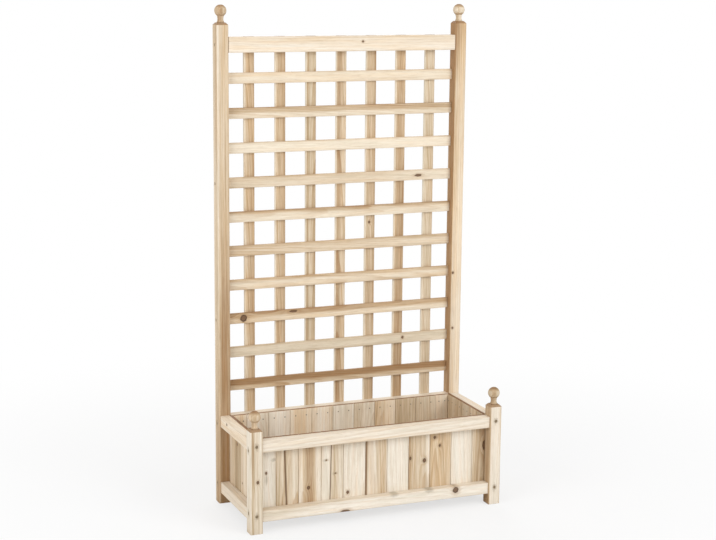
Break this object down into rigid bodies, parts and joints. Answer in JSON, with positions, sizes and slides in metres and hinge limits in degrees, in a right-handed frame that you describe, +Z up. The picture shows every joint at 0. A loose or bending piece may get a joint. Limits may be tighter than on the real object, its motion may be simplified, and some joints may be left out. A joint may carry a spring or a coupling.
{
  "type": "planter with trellis",
  "caption": "Softwood floor planter: a boarded box between corner posts with turned ball finials, its two tall rear posts carrying an open square trellis.",
  "frame": {"origin": "on the floor, under the middle of the four posts", "axes": "+X to the right seen from the front, +Y to the back where the trellis stands, +Z up"},
  "size_m": [0.72, 0.302, 1.348],
  "materials": {
    "board_timber": "bare planed softwood",
    "dowel_wood": "bare turned hardwood",
    "floor_timber": "bare planed softwood",
    "lattice_timber": "bare planed softwood",
    "post_timber": "bare planed softwood",
    "rail_timber": "bare planed softwood",
    "turned_timber": "bare planed softwood",
    "nail_steel": "plain bright steel",
    "screw_steel": "zinc plated"
  },
  "bodies": {
    "root": {"back_bearer": "floor_timber", "back_boards": "board_timber", "back_bottom_rail": "rail_timber", "back_top_rail": "rail_timber", "bearer_screws": "screw_steel", "board_nails": "nail_steel", "finial_dowels": "dowel_wood", "floor_slats": "floor_timber", "front_bearer": "floor_timber", "front_board_01": "board_timber", "front_board_02": "board_timber", "front_board_03": "board_timber", "front_board_04": "board_timber", "front_board_05": "board_timber", "front_board_06": "board_timber", "front_board_07": "board_timber", "front_board_08": "board_timber", "front_board_09": "board_timber", "front_board_10": "board_timber", "front_board_11": "board_timber", "front_bottom_rail": "rail_timber", "front_left_finial": "turned_timber", "front_left_post": "post_timber", "front_right_finial": "turned_timber", "front_right_post": "post_timber", "front_top_rail": "rail_timber", "left_boards": "board_timber", "left_bottom_rail": "rail_timber", "left_top_rail": "rail_timber", "rail_screws": "screw_steel", "rear_left_finial": "turned_timber", "rear_left_post": "post_timber", "rear_right_finial": "turned_timber", "rear_right_post": "post_timber", "right_boards": "board_timber", "right_bottom_rail": "rail_timber", "right_top_rail": "rail_timber", "trellis_nails": "nail_steel", "trellis_slat_01": "lattice_timber", "trellis_slat_02": "lattice_timber", "trellis_slat_03": "lattice_timber", "trellis_slat_04": "lattice_timber", "trellis_slat_05": "lattice_timber", "trellis_slat_06": "lattice_timber", "trellis_slat_07": "lattice_timber", "trellis_slat_08": "lattice_timber", "trellis_slat_09": "lattice_timber", "trellis_slat_10": "lattice_timber", "trellis_top_rail": "rail_timber", "trellis_upright_1": "lattice_timber", "trellis_upright_2": "lattice_timber", "trellis_upright_3": "lattice_timber", "trellis_upright_4": "lattice_timber", "trellis_upright_5": "lattice_timber", "trellis_upright_6": "lattice_timber", "trellis_upright_7": "lattice_timber"}
  },
  "joints": []
}
